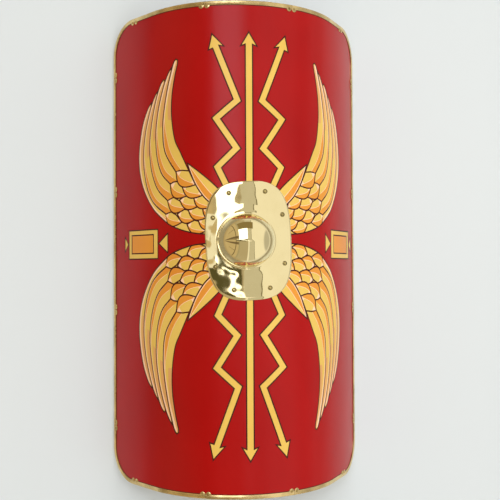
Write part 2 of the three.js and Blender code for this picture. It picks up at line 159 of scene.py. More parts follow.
def curve(points, per_span=8):
    """A smooth open line through a few points."""
    p = np.array(points, float)
    p = np.concatenate([[2 * p[0] - p[1]], p, [2 * p[-1] - p[-2]]])
    t = np.linspace(0, 1, per_span, endpoint=False)[:, None]
    spans = [0.5 * (2 * b + (c - a) * t + (2 * a - 5 * b + 4 * c - d) * t ** 2
                    + (3 * b - a - 3 * c + d) * t ** 3)
             for a, b, c, d in zip(p[:-3], p[1:-2], p[2:-1], p[3:])]
    return np.concatenate(spans + [p[-2:-1]])


def spread(outline, by):
    """Moves a closed outline outwards by a width, or inwards if it is negative."""
    p = np.array(outline, float)
    p = p[np.linalg.norm(p - np.roll(p, 1, 0), axis=1) > 0.01]
    before, after = p - np.roll(p, 1, 0), np.roll(p, -1, 0) - p
    unit = [v / np.maximum(np.linalg.norm(v, axis=1, keepdims=True), 1e-9) for v in (before, after)]
    area = (p[:, 0] * np.roll(p[:, 1], -1) - np.roll(p[:, 0], -1) * p[:, 1]).sum()
    side = math.copysign(1, area)
    square = [np.stack([v[:, 1], -v[:, 0]], -1) * side for v in unit]
    middle = square[0] + square[1]
    reach = 2 / np.maximum((middle ** 2).sum(1, keepdims=True), 0.5)
    return p + middle * reach * by


def lay(colour, outline, *within):
    paint_layers.append((colour, np.array(outline, float), within))


def everywhere(colour, outline, *within):
    """Lays one outline in all four quarters of the board."""
    p = np.array(outline, float)
    for across in (1, -1):
        for below in (False, True):
            def turned(q):
                y = lower_shift - lower_stretch * q[:, 1] if below else q[:, 1]
                return np.stack([q[:, 0] * across, y], -1)
            lay(colour, turned(p), *[turned(w) for w in within])


# Bolts: a straight middle arrow, and a zigzag arrow on each side of it.

bar_wide = 16.5
bolt_wide = 15.5


def ribbon(path, wide):
    """A band of even width along a path with sharp corners."""
    p = np.array(path, float)
    ways = np.diff(p, axis=0)
    ways /= np.linalg.norm(ways, axis=1, keepdims=True)
    square = np.stack([ways[:, 1], -ways[:, 0]], -1)
    mitre = np.concatenate([square[:1], square[:-1] + square[1:], square[-1:]])
    mitre[1:-1] *= 2 / (mitre[1:-1] ** 2).sum(1, keepdims=True)
    return np.concatenate([p + mitre * wide / 2, (p - mitre * wide / 2)[::-1]])


def arrow(path, wide, head):
    """The ribbon with a barbed head at its start: the head is a barb, the tip and a barb."""
    return np.concatenate([head, ribbon(path, wide)])


def two_colour(colour, outline, put=lay):
    """A dark outline drawn round a flat colour."""
    put("line", spread(outline, line_outside))
    put(colour, spread(outline, line_outside - line_wide))


bolt_path = [(-71.6, 426.6), (-26.5, 313), (-71.6, 275), (-28.4, 211.5), (-69.3, 171.8), (-40, 112)]
bolt_head = [(-53.5, 427.5), (-80.5, 456), (-88.5, 420.5)]
bar_s = -1.5
bar_barb = 18.5
two_colour("gold", arrow(bolt_path, bolt_wide, bolt_head), everywhere)
for neck, tip, barb, foot in ((431.5, 459, 427.5, 100), (-420.5, -448, -416.5, -60)):
    side = math.copysign(bar_barb, tip)
    head = [(bar_s + side, barb), (bar_s, tip), (bar_s - side, barb)]
    two_colour("gold", arrow([(bar_s, neck), (bar_s, foot)], bar_wide, head)[::-1])

# Boxes beside the boss: a gold frame round an orange field, and a small gold triangle on each side.

box_spots = ((-219, -330, -236.5, -316.5), (235.5, 354, 254.5, 340))
box_low, box_high = -20.5, 44.5
field_low, field_high = -6.5, 31.5
tip_y, base_y = 13, 13.5


def oblong(near, far, low, high):
    return [(near, low), (far, low), (far, high), (near, high)]


for near, far, field_near, field_far in box_spots:
    two_colour("gold", oblong(near, far, box_low, box_high))
    field = oblong(field_near, field_far, field_low, field_high)
    lay("line", spread(field, line_wide))
    lay("orange", field)
    way = math.copysign(1, near)
    for tip, base, half in ((near - way * 2, near - way * 31, 22), (far + way * 1.5, far + way * 16, 18)):
        two_colour("gold", [(tip, tip_y), (base, base_y + half), (base, base_y - half)])

# Wings: five long feathers, slanting rows of scales, and one long feather beside the boss.
# Each is gold, shaded orange on its outer side, with a pale light between the two and another
# along its outer edge; on the five long feathers that pale edge strip and the tan over their upper
# parts are painted sheen. The lists are the dark lines between feathers, from their tips down.

seam_places = 41


def even(points):
    """A smooth line through a few points, with its places evenly spaced."""
    p = curve(points, 12)
    run = np.concatenate([[0], np.cumsum(np.linalg.norm(np.diff(p, axis=0), axis=1))])
    stops = np.linspace(0, run[-1], seam_places)
    return np.stack([np.interp(stops, run, p[:, 0]), np.interp(stops, run, p[:, 1])], -1)


def between(a, b, share):
    """A line part of the way from one line to the next, place by place."""
    return a + (b - a) * np.asarray(share)[:, None]


feather_lines = [
    [(-165, 409), (-160, 403), (-168, 372), (-176, 330), (-177, 285), (-169, 237), (-154, 207),
     (-133, 166)],
    [(-165, 409), (-170.5, 403), (-177, 386), (-189, 347), (-200, 296), (-203, 257), (-196, 210),
     (-166, 166)],
    [(-178, 391), (-188, 378), (-201, 352), (-218, 302), (-226, 253), (-222, 203), (-207, 165),
     (-182, 141)],
    [(-200, 369), (-211, 357), (-225, 328), (-241, 277), (-249, 228), (-243, 178), (-222, 134),
     (-189, 105)],
    [(-221, 345), (-233, 331), (-248, 304), (-265, 258), (-272, 206), (-264, 152), (-240, 108),
     (-194, 76)],
    [(-242, 324), (-257, 310), (-276, 276), (-289, 222), (-287, 174), (-270, 131), (-237, 90),
     (-190, 56)],
]
feather_feet = [(-133, 166), (-161, 145), (-171, 111), (-178, 80), (-190, 56)]
heel = curve([(-190, 56), (-176, 49), (-152, 40.5), (-126, 34), (-101, 31), (-72, 31)])
long_left = even([(-137, 183), (-131, 166), (-118, 137), (-102, 113), (-87, 98), (-60, 76)])
long_right = even([(-137, 183), (-112, 165), (-85, 143), (-66, 125), (-50, 108), (-40, 96)])
under_feet = [(-148, 176), (-170, 165), (-187, 143), (-194, 110), (-200, 83)]
wing_body = np.concatenate([heel, long_right[:3:-1], under_feet])
body_core = spread(wing_body, -line_wide / 2)
everywhere("line", spread(wing_body, line_wide / 2))
everywhere("gold", body_core)


def stripe(colour, one, other, *within):
    """Fills the space between two lines that run the same way."""
    everywhere(colour, np.concatenate([one, other[::-1]]), *within)


down = np.linspace(0, 1, seam_places)
sheen_tan_part = slice(1, 22)              # places down a feather where each shade runs
orange_part = slice(14, None)
light_part = slice(18, None)
swell = 0.37 * np.clip((down - 0.38) / 0.32, 0, 1) + 0.12 * np.clip((down - 0.87) / 0.13, 0, 1) ** 2
for i in (4, 3, 2, 1, 0):
    outer = even(feather_lines[i + 1])
    tip = feather_lines[i + 1][0] if i else feather_lines[0][0]
    inner = even(feather_lines[i])
    if i:
        inner = even([tip] + [p for p in inner[::5] if p[1] < tip[1] - 6])
    width = np.maximum(np.linalg.norm(inner - outer, axis=1), 1)
    feather = np.concatenate([inner, [feather_feet[i]], outer[:0:-1]])
    everywhere("line", spread(feather, line_wide / 2))
    core = spread(feather, -line_wide / 2)
    everywhere("gold", core)
    # The tan over each feather's upper part is painted sheen.
    stripe("tan", inner[sheen_tan_part], between(inner, outer, 0.8 - 0.7 * down)[sheen_tan_part], core)
    split = between(outer, inner, swell)
    shade = np.concatenate([outer[orange_part], [feather_feet[i]], split[orange_part][::-1]])
    everywhere("orange", shade, core)
    light = np.clip(1.2 / width, 0, 0.3)
    stripe("pale", split[light_part], between(outer, inner, swell + light)[light_part], core)
    # The pale strip along the outer edge, widest at the tip, is painted sheen.
    rim = np.clip((line_wide / 2 + 6 - (1 if i == 4 else 6) * down) / width, 0, 0.55)
    stripe("pale", outer[1:], between(outer, inner, rim)[1:], core)

# Scales lap over each other like tiles. Each is given by its outer corner and its point, and
# the belly between them is the same curve in all; those laid later cover the tops of the others.

belly = [(0, 0), (0.13, 0.16), (0.27, 0.29), (0.42, 0.35), (0.57, 0.34), (0.74, 0.25),
         (0.89, 0.12), (1, 0)]
shoulder = [(0.85, -0.16), (0.6, -0.33), (0.27, -0.3)]
divide = [(0, 0.01), (0.23, 0.1), (0.45, 0.11), (0.68, 0.07), (0.92, 0.01)]
scale_rows = [
    [((-165, 167), (-118, 136)), ((-150, 134), (-102, 113)), ((-122, 109), (-84, 87)),
     ((-102, 88), (-66, 62))],
    [((-181, 140), (-138, 113)), ((-156, 105), (-110, 91)), ((-135, 83), (-92, 66)),
     ((-112, 61), (-72, 44))],
    [((-189, 105), (-141, 86)), ((-162, 75), (-118, 62)), ((-138, 52), (-95, 37))],
    [((-196, 75), (-151, 57)), ((-176, 49), (-122, 34))],
]
scale_tops = [[(-133, 166), (-150, 168)], [(-150, 138), (-162, 145), (-173, 144)],
              [(-156, 103), (-172, 111), (-181, 108)], [(-165, 73), (-179, 80), (-187, 78)]]


def petal(corner, point, shape, deep=1.0):
    """Places on a scale: how far along from corner to point, and how far below that line."""
    run = np.array(point, float) - corner
    drop = np.array([run[1], -run[0]])
    return np.array([corner + run * t + drop * d * deep for t, d in shape])


for row, top in zip(scale_rows[::-1], scale_tops[::-1]):
    for place in range(len(row) - 1, -1, -1):
        corner, point = row[place]
        deep = 1.05 if place == 0 else 0.88
        edge = curve(petal(corner, point, belly, deep), 3)
        back = top if place == 0 else petal(corner, point, shoulder)
        scale = np.concatenate([edge, back])
        everywhere("line", spread(scale, line_wide / 2), body_core)
        core = spread(scale, -line_wide / 2)
        everywhere("gold", core, body_core)
        for share in (0.0, 0.8):
            ends = petal(corner, point, oblong(share, share + 0.2, -0.4, 0.4))
            everywhere("pale", ends, core, body_core)
        split = curve(petal(corner, point, divide), 4)
        stripe("orange", edge[2:-3], split, core, body_core)
        light = (split[-1] - split[0]) / np.linalg.norm(split[-1] - split[0])
        lift = np.array([-light[1], light[0]]) * 1.1
        stripe("pale", split, split + lift, core, body_core)

whole = np.concatenate([long_left, long_right[::-1]])
everywhere("line", spread(whole, line_wide / 2))
core = spread(whole, -line_wide / 2)
everywhere("gold", core)
split = between(long_left, long_right, 0.52 - 0.1 * down)
stripe("orange", long_left, split, core)
width = np.maximum(np.linalg.norm(long_left - long_right, axis=1), 1)
rim = np.clip((line_wide / 2 + 1.8) / width, 0, 0.5)
stripe("pale", long_left, between(long_left, long_right, rim), core)
light = np.clip(1.3 / width, 0, 0.3)
stripe("pale", split, split + (long_right - long_left) * light[:, None], core)

# The front is cut along the paint's outlines, so each colour ends at a sharp edge and lies flush.

half_s, half_y = edge_s - board_clear, edge_y - board_clear
board_edge = rounded_rectangle(half_s, half_y, corner_radius - board_clear)
dirt_and_shade_edge = rounded_rectangle(half_s - dirt_and_shade_wide, half_y - dirt_and_shade_wide, corner_radius - 10 * mm)
hand_hole = arc((dome_s, plate_rise), hand_hole_radius, 0, 360, 60)[:-1]
paint_outlines = [outline * mm for _, outline, _ in paint_layers]
front_flat, front_faces = flat_pattern([board_edge, dirt_and_shade_edge, hand_hole] + paint_outlines)
middles = front_flat[front_faces].mean(1)
on_board = inside(middles, board_edge) & ~inside(middles, hand_hole)
front_faces, middles = front_faces[on_board], middles[on_board]
colour_names = ["red", "line", "gold", "orange", "pale", "tan", "dirt_and_shade", "back", "edge"]
# The band beside the binding is painted darker: partly dirt, partly painted shade from the binding.
front_slots = np.where(inside(middles, dirt_and_shade_edge), 0, colour_names.index("dirt_and_shade"))
for (colour, _, within), outline in zip(paint_layers, paint_outlines):
    near = (np.abs(middles - outline.mean(0)) <= np.ptp(outline, axis=0) + mm).all(1)
    hit = np.zeros(len(middles), bool)
    hit[near] = inside(middles[near], outline)
    for limit in within:
        hit[near] &= inside(middles[near], limit * mm)
    front_slots[hit] = colour_names.index(colour)

back_flat, back_faces = flat_pattern([board_edge, hand_hole])
middles = back_flat[back_faces].mean(1)
back_faces = back_faces[inside(middles, board_edge) & ~inside(middles, hand_hole)][:, ::-1]


def board_mesh():
    """Front and back skins, and walls round the outside and the hand hole."""
    verts = [bend(*front_flat.T, 0), bend(*back_flat.T, -board_thick)]
    faces = [list(f) for f in front_faces] + [list(f + len(front_flat)) for f in back_faces]
    slots = list(front_slots) + [colour_names.index("back")] * len(back_faces)
    normals = [n for f in front_faces for n in sheen_way(front_flat[f, 0])]
    normals += [-n for f in back_faces for n in way_out(back_flat[f, 0])]
    first = len(front_flat) + len(back_flat)
    for ring in (board_edge, hand_hole[::-1]):
        runs = []
        for a, b in zip(ring, np.roll(ring, -1, 0)):
            steps = max(2, int(np.ptp([a, b], axis=0).max() / fold_step))
            runs.append(np.linspace(a, b, steps, endpoint=False))
        fine = np.concatenate(runs)
        count = len(fine)
        verts += [bend(*fine.T, 0), bend(*fine.T, -board_thick)]
        along = np.roll(fine, -1, 0) - fine
        for i in range(count):
            j = (i + 1) % count
            faces.append([first + i, first + count + i, first + count + j, first + j])
            slots.append(colour_names.index("edge"))
            out = np.array([along[i][1], -along[i][0]]) / max(np.linalg.norm(along[i]), 1e-9)
            turn = way_out(fine[i, 0])
            normals += [(out[0] * turn[2], out[1], -out[0] * turn[0])] * 4
        first += 2 * count
    return np.concatenate(verts), faces, normals, slots


def new_material(name):
    """A material with its nodes, links and shader, ready for the finish to be added."""
    material = bpy.data.materials.new(name)
    material.use_nodes = True
    nodes = material.node_tree.nodes
    return material, nodes, material.node_tree.links, nodes["Principled BSDF"]


def noise(nodes, links, stretch, detail=3.0, rough=0.5):
    """Noise in the object's own space, stretched by a scale for each direction."""
    where = nodes.new("ShaderNodeTexCoord")
    scaled = nodes.new("ShaderNodeMapping")
    scaled.inputs["Scale"].default_value = stretch
    texture = nodes.new("ShaderNodeTexNoise")
    texture.inputs["Scale"].default_value = 1
    texture.inputs["Detail"].default_value = detail
    texture.inputs["Roughness"].default_value = rough
    links.new(where.outputs["Object"], scaled.inputs["Vector"])
    links.new(scaled.outputs["Vector"], texture.inputs["Vector"])
    return texture.outputs["Fac"]


def remap(nodes, links, value, low, high, to_low, to_high):
    node = nodes.new("ShaderNodeMapRange")
    for socket, number in zip(node.inputs[1:5], (low, high, to_low, to_high)):
        socket.default_value = number
    links.new(value, node.inputs[0])
    return node.outputs[0]


def blend_colours(nodes, links, share, first, second):
    node = nodes.new("ShaderNodeMix")
    node.data_type = "RGBA"
    links.new(share, node.inputs["Factor"])
    for socket, colour in ((node.inputs[6], first), (node.inputs[7], second)):
        if isinstance(colour, tuple):
            socket.default_value = (*colour, 1)
        else:
            links.new(colour, socket)
    return node.outputs[2]


def raise_bumps(nodes, links, shader, heights, last=None):
    """Adds bumps: each is a height, its strength and its depth in metres."""
    for height, strength, depth in heights:
        bump = nodes.new("ShaderNodeBump")
        bump.inputs["Strength"].default_value = strength
        bump.inputs["Distance"].default_value = depth
        links.new(height, bump.inputs["Height"])
        if last is not None:
            links.new(last, bump.inputs["Normal"])
        last = bump.outputs["Normal"]
    links.new(last, shader.inputs["Normal"])


def srgb(r, g, b):
    return tuple((v / 255 / 12.92) if v <= 10 else ((v / 255 + 0.055) / 1.055) ** 2.4 for v in (r, g, b))


def board_paint(name, colour, deeper, rough=0.24):
    """Satin enamel on plywood: fine speckle, a faint upright grain and a little uneven colour."""
    material, nodes, links, shader = new_material(name)
    patches = noise(nodes, links, (7, 5, 7), 4)
    share = remap(nodes, links, patches, 0.35, 0.7, 0, 1)
    links.new(blend_colours(nodes, links, share, colour, deeper), shader.inputs["Base Color"])
    grain = noise(nodes, links, (420, 9, 420), 3)
    speckle = noise(nodes, links, (620, 620, 620), 2)
    links.new(remap(nodes, links, grain, 0.3, 0.7, rough - 0.02, rough + 0.03), shader.inputs["Roughness"])
    shader.inputs["IOR"].default_value = 1.32
    shader.inputs["Sheen Weight"].default_value = 0.06
    shader.inputs["Sheen Roughness"].default_value = 0.3
    raise_bumps(nodes, links, shader, [(grain, 0.1, 0.0002), (speckle, 0.35, 0.0001)])
    return material


def ply_back(name, light, dark, rough):
    """Stained veneer with its grain running up the board."""
    material, nodes, links, shader = new_material(name)
    rings = noise(nodes, links, (38, 1.6, 38), 6, 0.62)
    pores = noise(nodes, links, (700, 14, 700), 3)
    share = remap(nodes, links, rings, 0.36, 0.64, 0, 1)
    stain = blend_colours(nodes, links, share, light, dark)
    fine = remap(nodes, links, pores, 0.45, 0.75, 0, 0.55)
    filled = blend_colours(nodes, links, fine, stain, tuple(v * 0.5 for v in dark))
    links.new(filled, shader.inputs["Base Color"])
    links.new(remap(nodes, links, pores, 0.3, 0.7, rough, rough + 0.15), shader.inputs["Roughness"])
    raise_bumps(nodes, links, shader, [(rings, 0.3, 0.0003), (pores, 0.4, 0.0002)])
    return material


board_materials = [
    board_paint("red_paint", srgb(173, 5, 5), srgb(162, 2, 3)),
    board_paint("brown_line_paint", srgb(74, 14, 6), srgb(58, 8, 4), 0.5),
    board_paint("gold_paint", srgb(236, 196, 98), srgb(229, 186, 86)),
    board_paint("orange_paint", srgb(234, 154, 58), srgb(226, 142, 50)),
    board_paint("pale_paint", srgb(255, 214, 176), srgb(250, 202, 160)),
    # Painted sheen on the feathers' upper parts.
    board_paint("sheen_tan_paint", srgb(232, 172, 106), srgb(222, 160, 94)),
    # Dirt and painted shade in the band beside the binding.
    board_paint("red_dirt_and_shade", srgb(112, 30, 22), srgb(86, 20, 14)),
    ply_back("stained_back", srgb(150, 98, 58), srgb(112, 68, 38), 0.5),
    ply_back("ply_edge", srgb(190, 150, 100), srgb(120, 80, 48), 0.6),
]
verts, faces, normals, slots = board_mesh()
board = mesh_object("painted_board", verts, faces, normals, slots)
for material in board_materials:
    board.data.materials.append(material)
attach(board, "root")
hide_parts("board")


# The boss: one brass sheet pressed to a hollow oval dome with a moulded bead round its foot, its
# plate trimmed to a squarish oval and bent to the board. It was fitted a little crooked.
# It is polished by hand, so the plate is not quite even.

plate_tilt = math.radians(2.9)
plate_half = np.array([94, 125.5]) * mm
plate_power = 3
plate_sheet = 1.5 * mm
plate_top = 0.3 * mm + plate_sheet
dome_radius = 55 * mm
dome_oval = 1.07
dome_height = 52 * mm
dome_wall = 4 * mm
bead_wide = 4.4 * mm
bead_high = 0.8 * mm
foot_high = 0.6 * mm
edge_droop = 0.35 * mm
droop_from = 0.94                    # share of the way out to the edge
dome_x = bend(dome_s, 0, 0)[0]


def on_plate(u, v):
    """A place on the plate, measured from its own middle along its own leaning lines."""
    c, s = math.cos(plate_tilt), math.sin(plate_tilt)
    return plate_shift + u * c - v * s, plate_rise + u * s + v * c


def plate_reach(turns):
    """How far the plate's outline is from the dome's middle in each direction."""
    reach = np.full(len(turns), 10 * mm)
    for step in (20 * mm, 4 * mm, 1 * mm, 0.2 * mm, 0.04 * mm):
        while True:
            s = dome_s + (reach + step) * np.cos(turns) - plate_shift
            y = (reach + step) * np.sin(turns)
            u = (s * math.cos(plate_tilt) + y * math.sin(plate_tilt)) / plate_half[0]
            v = (y * math.cos(plate_tilt) - s * math.sin(plate_tilt)) / plate_half[1]
            still = np.abs(u) ** plate_power + np.abs(v) ** plate_power < 1
            if not still.any():
                break
            reach = np.where(still, reach + step, reach)
    return reach


def boss_mesh():
    """Rings from the dome's top down its wall, over the bead and out to the plate's edge."""
    sides = 192
    turns = np.linspace(0, 2 * math.pi, sides, endpoint=False)
    c, s = np.cos(turns), np.sin(turns)
    rings = []
    for tilt in np.radians(np.linspace(0, 90, 40))[1:]:
        r = dome_radius * math.sin(tilt)
        z = crown_z + dome_wall + (dome_height - dome_wall) * math.cos(tilt)
        rings.append(np.stack([dome_x + r * dome_oval * c, plate_rise + r * s, 0 * c + z], -1))

    def level(r, d):
        return bend(dome_s + r * dome_oval * c, plate_rise + r * s, d)

    foot = level(dome_radius, plate_top + foot_high)
    foot[:, :2] = rings[-1][:, :2]
    rings += [rings[-1] + (foot - rings[-1]) * share for share in (0.3, 0.6, 0.85, 1)]
    for share in np.linspace(0.08, 1, 9):
        rise = bead_high * math.sin(math.pi * share) ** 0.8
        rings.append(level(dome_radius + bead_wide * share, plate_top + rise))
    oval = np.sqrt((dome_oval * c) ** 2 + s ** 2)
    away = np.arctan2(s, dome_oval * c)
    start = (dome_radius + bead_wide) * oval
    end = plate_reach(away)
    for share in np.linspace(0, 1, 34)[1:]:
        r = start + (end - start) * share
        droop = edge_droop * max(0, share - droop_from) / (1 - droop_from)
        rings.append(bend(dome_s + r * np.cos(away), plate_rise + r * np.sin(away), plate_top - droop))
    top = np.array([[dome_x, plate_rise, crown_z + dome_height]])
    verts = np.concatenate([top] + rings)
    faces = [(0, 1 + i, 1 + (i + 1) % sides) for i in range(sides)]
    for k in range(len(rings) - 1):
        a, b = 1 + k * sides, 1 + (k + 1) * sides
        faces += [(a + i, b + i, b + (i + 1) % sides, a + (i + 1) % sides) for i in range(sides)]
    return verts, faces


def calc(nodes, links, kind, a, b=0):
    """A sum of two values, each a number or another node's result."""
    node = nodes.new("ShaderNodeMath")
    node.operation = kind
    for socket, value in zip(node.inputs, (a, b)):
        if isinstance(value, (int, float)):
            socket.default_value = value
        else:
            links.new(value, socket)
    return node.outputs[0]


def vector_calc(nodes, links, kind, a, b=None):
    """The same for two places or directions."""
    node = nodes.new("ShaderNodeVectorMath")
    node.operation = kind
    links.new(a, node.inputs[0])
    if isinstance(b, tuple):
        node.inputs[1].default_value = b
    elif b is not None:
        links.new(b, node.inputs[1])
    return node.outputs["Value" if kind == "DISTANCE" else "Vector"]


def ease_steep_sides(nodes, links):
    """Turns the shine of steep places towards that of gentler ones, as on a worn, rounded foot."""
    out = nodes.new("ShaderNodeNewGeometry").outputs["Normal"]
    parts = nodes.new("ShaderNodeSeparateXYZ")
    links.new(out, parts.inputs["Vector"])
    side = parts.outputs["Z"]
    steep = calc(nodes, links, "SUBTRACT", calc(nodes, links, "ABSOLUTE", side), 1)
    amount = calc(nodes, links, "MULTIPLY", calc(nodes, links, "POWER", steep, 2), 0.85)
    upright = nodes.new("ShaderNodeCombineXYZ")
    lift = calc(nodes, links, "MULTIPLY", amount, calc(nodes, links, "SIGN", side))
    links.new(lift, upright.inputs["Z"])
    eased = vector_calc(nodes, links, "ADD", out, upright.outputs["Vector"])
    return vector_calc(nodes, links, "NORMALIZE", eased)


def polished_brass(name, colour, deeper, rough, wave, stain=0.5, uneven=0.12, flat_within=None):
    """Bright brass with slight waves from the polishing, faint clouding and fine scratches."""
    material, nodes, links, shader = new_material(name)
    clouds = noise(nodes, links, (26, 20, 26), 5, 0.6)
    share = remap(nodes, links, clouds, 0.42, 0.75, 0, stain)
    links.new(blend_colours(nodes, links, share, colour, deeper), shader.inputs["Base Color"])
    shader.inputs["Metallic"].default_value = 1
    links.new(remap(nodes, links, clouds, 0.3, 0.75, rough, rough + uneven), shader.inputs["Roughness"])
    waves = noise(nodes, links, (24, 17, 24), 1)
    if flat_within:
        where = nodes.new("ShaderNodeTexCoord").outputs["Object"]
        apart = vector_calc(nodes, links, "DISTANCE", where, (dome_x, plate_rise, crown_z))
        outside = remap(nodes, links, apart, flat_within, flat_within + 12 * mm, 0, 1)
        centred = remap(nodes, links, waves, 0, 1, -0.5, 0.5)
        waves = calc(nodes, links, "MULTIPLY", centred, outside)
    scratches = noise(nodes, links, (900, 60, 900), 2)
    eased = ease_steep_sides(nodes, links) if flat_within else None
    raise_bumps(nodes, links, shader, [(waves, 1, wave), (scratches, 0.05, 0.0001)], eased)
    return material


boss_brass = polished_brass("boss_brass", srgb(247, 230, 179), srgb(232, 212, 156), 0.02, 0.0015,
                            stain=0.35, uneven=0.03, flat_within=66 * mm)
verts, faces = boss_mesh()
boss = mesh_object("brass_boss", verts, faces)
boss.data.materials.append(boss_brass)
shell = boss.modifiers.new("sheet", "SOLIDIFY")
shell.thickness = plate_sheet
shell.offset = -1
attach(boss, "root")
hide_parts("boss")


# Boss rivets: eight brass rivets through plate and board. Each head is low and round with a
# sunk ring from the setting tool, dark with old polish; the tail behind is hammered flat.

end_rivet = np.array([38.5, 102]) * mm      # from the plate's middle, near its ends
side_rivet = np.array([75, 52]) * mm        # and near its sides
rivet_spots = [on_plate(across * u, up * v) for up in (1, -1) for across in (-1, 1)
               for u, v in (end_rivet, side_rivet)]


def turned_piece(name, profile, spot, material_list, ring_slots, sides=32):
    """A piece turned on its own axis, set square to the board at a spot on the face."""
    s, y = spot
    base = bend(s, y, 0)
    out = way_out(s)
    right = np.array([out[2], 0, -out[0]])
    up = np.array([0.0, 1.0, 0.0])
    verts, faces, slots = [], [], []
    for r, h in profile:
        for i in range(sides):
            turn = 2 * math.pi * i / sides
            verts.append(base + out * h + right * r * math.cos(turn) + up * r * math.sin(turn))
    for k in range(len(profile) - 1):
        for i in range(sides):
            j = (i + 1) % sides
            faces.append((k * sides + j, k * sides + i, (k + 1) * sides + i, (k + 1) * sides + j))
            slots.append(ring_slots[k])
    for end, order in ((0, 1), (len(profile) - 1, -1)):
        faces.append(tuple(end * sides + i for i in range(sides))[::order])
        slots.append(ring_slots[0] if end == 0 else ring_slots[-1])
    piece = mesh_object(name, verts, faces, slots=slots)
    for material in material_list:
        piece.data.materials.append(material)
    return piece


rivet_brass = polished_brass("rivet_brass", srgb(214, 192, 130), srgb(150, 128, 76), 0.2, 0.0005, 0.8)
dark_polish = board_paint("old_polish", srgb(92, 80, 46), srgb(66, 56, 32), 0.5)
head_seat = plate_top + 0.05 * mm
head_shape = ((0.2, 1.9), (2, 1.8), (2.9, 1.5), (3.3, 0.9), (3.8, 0.9), (4.2, 1.4), (4.8, 1.2),
              (5.2, 0.5), (5.2, 0), (2, 0))
tail_shape = ((2, 0), (3.8, 0), (3.7, -0.8), (3, -1.5), (0.3, -1.7))
rivet_profile = [(r * mm, head_seat + h * mm) for r, h in head_shape]
rivet_profile += [(r * mm, -board_thick + h * mm) for r, h in tail_shape]
rivet_slots = [0, 0, 1, 1, 1, 0, 0, 1] + [0] * 7      # 1 is the dark polish in the sunk ring
for i, spot in enumerate(rivet_spots, 1):
    rivet = turned_piece(f"rivet_{i}", rivet_profile, spot, [rivet_brass, dark_polish], rivet_slots)
    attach(rivet, "root")
    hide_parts(f"boss_rivet_{i}")


# The edge binding: thin brass strip folded over the board's edge in sixteen lengths. Each length
# ends in a half-round lobe, front and back, where a nail goes through. It has yellowed and is
# a little dented.

binding_wide = 9 * mm
binding_sheet = 1 * mm
binding_front = 1.3 * mm
binding_back = -board_thick - 1.3 * mm
joint_gap = 0.4 * mm
lobe_radius = 5.8 * mm
lobe_offset = 6.4 * mm
lobe_lap = 1.5 * mm                  # how far a lobe runs in under the strip
lobe_top = 0.93                      # its flat top's share of its width
lobe_bevel = 0.25                    # its bevel's share of the sheet
fold_round = 1.6 * mm


def fold_section():
    """The strip's section: in from the outer edge, and above the painted face."""
    mid = (binding_front + binding_back) / 2
    half = (binding_front - binding_back) / 2
    outer = [(-binding_wide, half - 0.25 * mm), (-binding_wide + 0.3 * mm, half)]
    outer += [(-fold_round + fold_round * math.sin(t), half - fold_round + fold_round * math.cos(t))
              for t in np.radians(np.linspace(0, 90, 6))]
    inner = [(-binding_sheet, half - binding_sheet), (-binding_wide, half - binding_sheet)]
    lower = [(n, -d) for n, d in outer[::-1]]
    hollow = [(n, -d) for n, d in inner[::-1]] + inner
    return [(n, mid + d) for n, d in outer + lower + hollow]


def edge_line(kind, first, last):
    """Stations along one length: place on the outer edge, and the way out of the board."""
    if kind[0] == "end":
        way = kind[1]
        count = max(2, int(abs(last - first) / (5 * mm)))
        return [(s, way * edge_y, 0, way) for s in np.linspace(first, last, count)]
    if kind[0] == "side":
        way = kind[1]
        count = max(2, int(abs(last - first) / (8 * mm)))
        return [(way * edge_s, y, way, 0) for y in np.linspace(first, last, count)]
    across, up = kind[1:]
    mid = (edge_s - corner_radius, edge_y - corner_radius)
    run = np.linspace(edge_s - first, mid[0], 4)[:-1]
    line = [(s, edge_y, 0, 1) for s in run]
    line += [(x, y, math.cos(t), math.sin(t)) for (x, y), t in
             zip(arc(mid, corner_radius, 90, 0, 22), np.radians(np.linspace(90, 0, 23)))]
    line += [(edge_s, y, 1, 0) for y in np.linspace(mid[1], edge_y - last, 8)[1:]]
    return [(s * across, y * up, a * across, b * up) for s, y, a, b in line]


